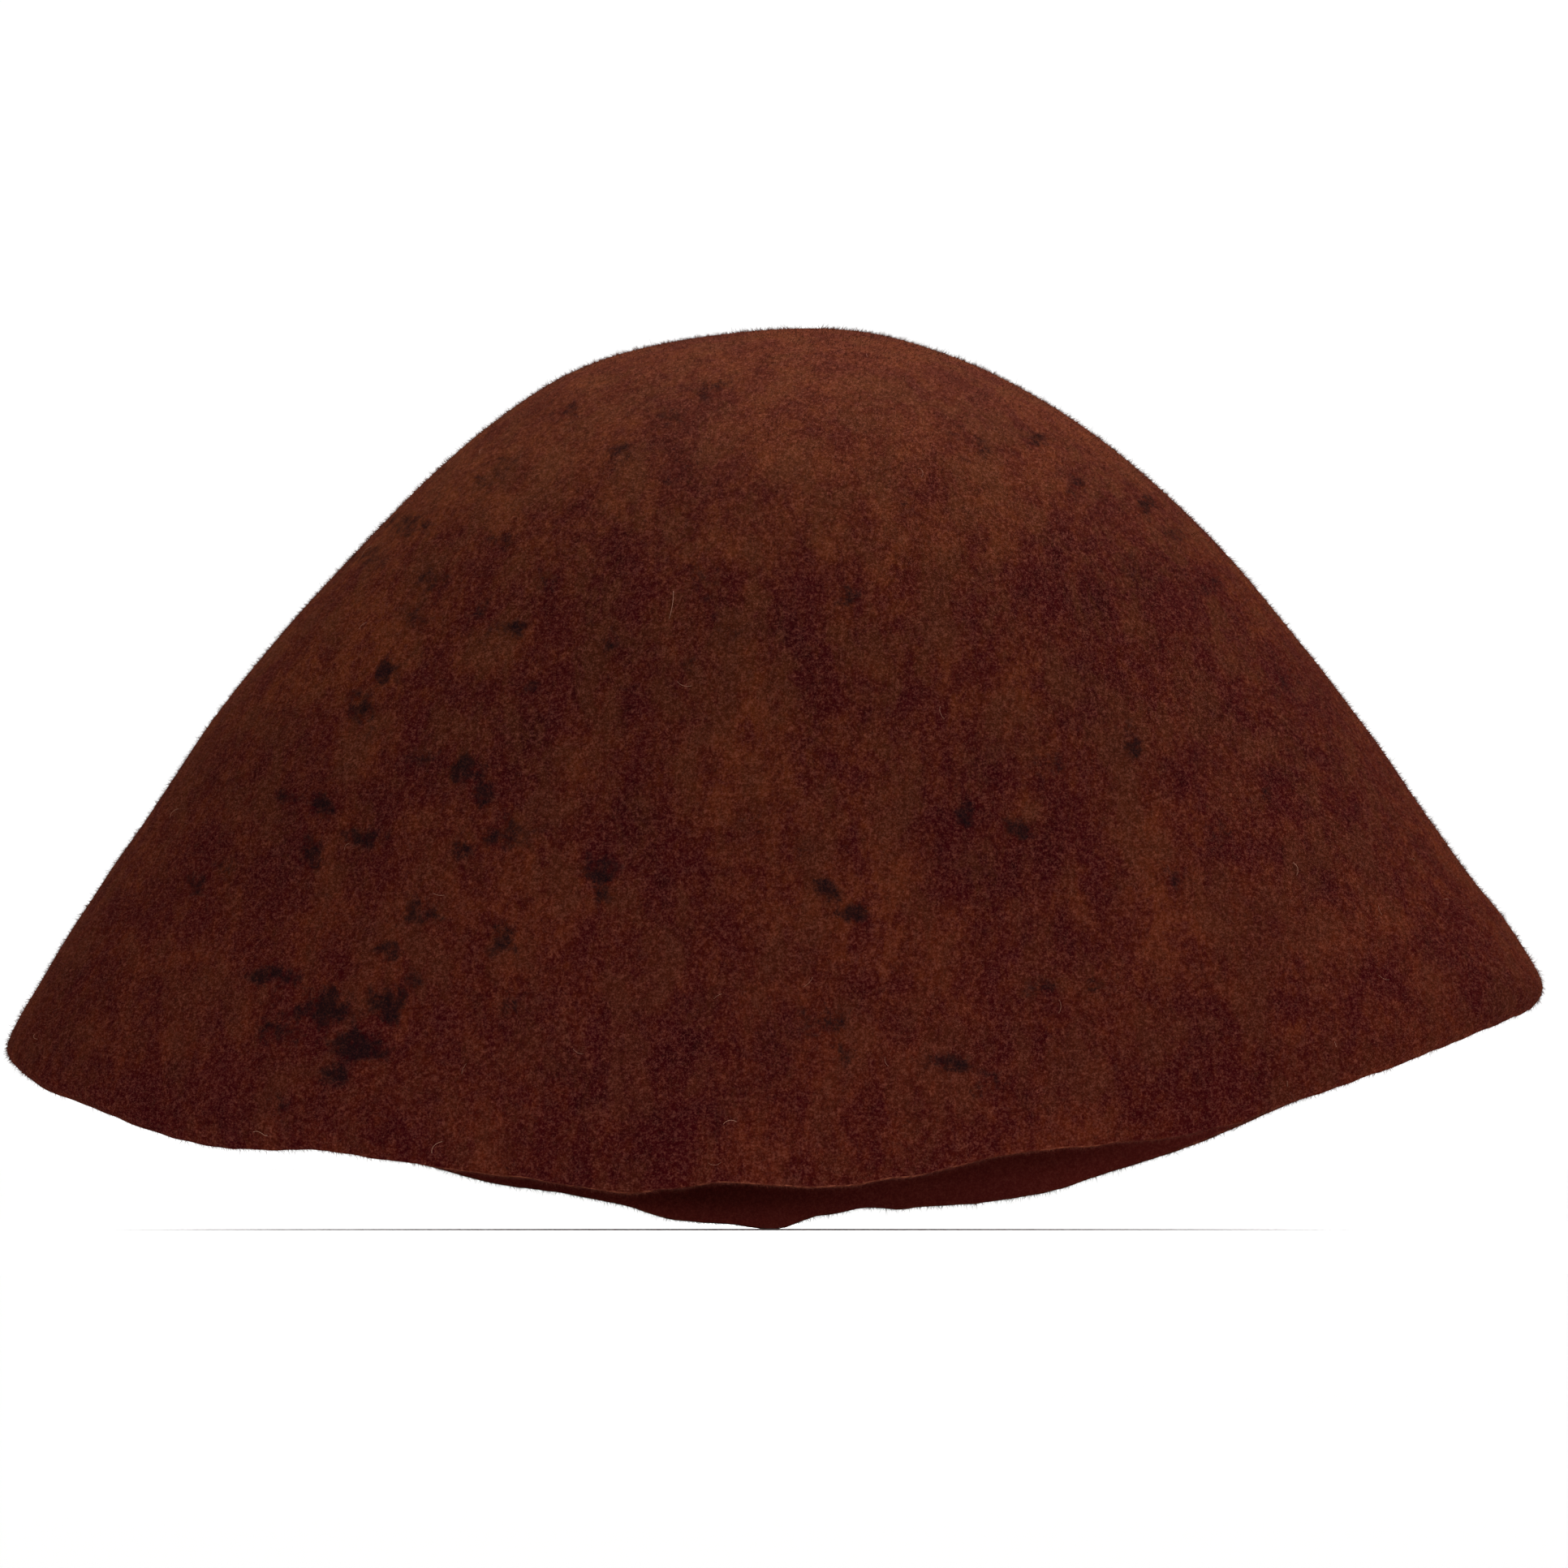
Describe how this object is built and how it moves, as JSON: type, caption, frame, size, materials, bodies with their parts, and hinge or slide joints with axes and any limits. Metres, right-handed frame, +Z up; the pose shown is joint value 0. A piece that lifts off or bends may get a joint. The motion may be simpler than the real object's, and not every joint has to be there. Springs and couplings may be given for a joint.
{
  "type": "soft felt hat",
  "caption": "Soft unblocked felt hat: a cone-shaped hood with a raw edge, flattened to an oval mouth, with a sewn-in sweatband and crown lining.",
  "frame": {"origin": "middle of the footprint, on the surface that the lowest stretch of the edge stands on", "axes": "+Z up through the crown, +X along the wide way of the oval mouth, -Y towards the front"},
  "size_m": [0.4148, 0.203, 0.2473],
  "materials": {
    "felt": "matt short-napped felt, mottled rust brown",
    "leather": "semi-matt tan leather",
    "tape": "matt woven tape",
    "thread": "waxed cotton thread",
    "ribbon": "corded ribbon",
    "satin": "satin lining cloth",
    "paper": "uncoated card"
  },
  "bodies": {
    "root": {"felt_hood": "felt", "sweatband": "leather", "sweatband_reed": "tape", "reed_tape": "tape", "sweatband_seam": "thread", "tacking_thread": "thread", "back_lacing": "thread", "bow_knot": "ribbon", "bow_left_loop": "ribbon", "bow_right_loop": "ribbon", "bow_left_tail": "ribbon", "bow_right_tail": "ribbon", "lining_tip": "satin", "lining_side": "satin", "lining_piping": "satin", "size_tag": "paper"}
  },
  "joints": []
}
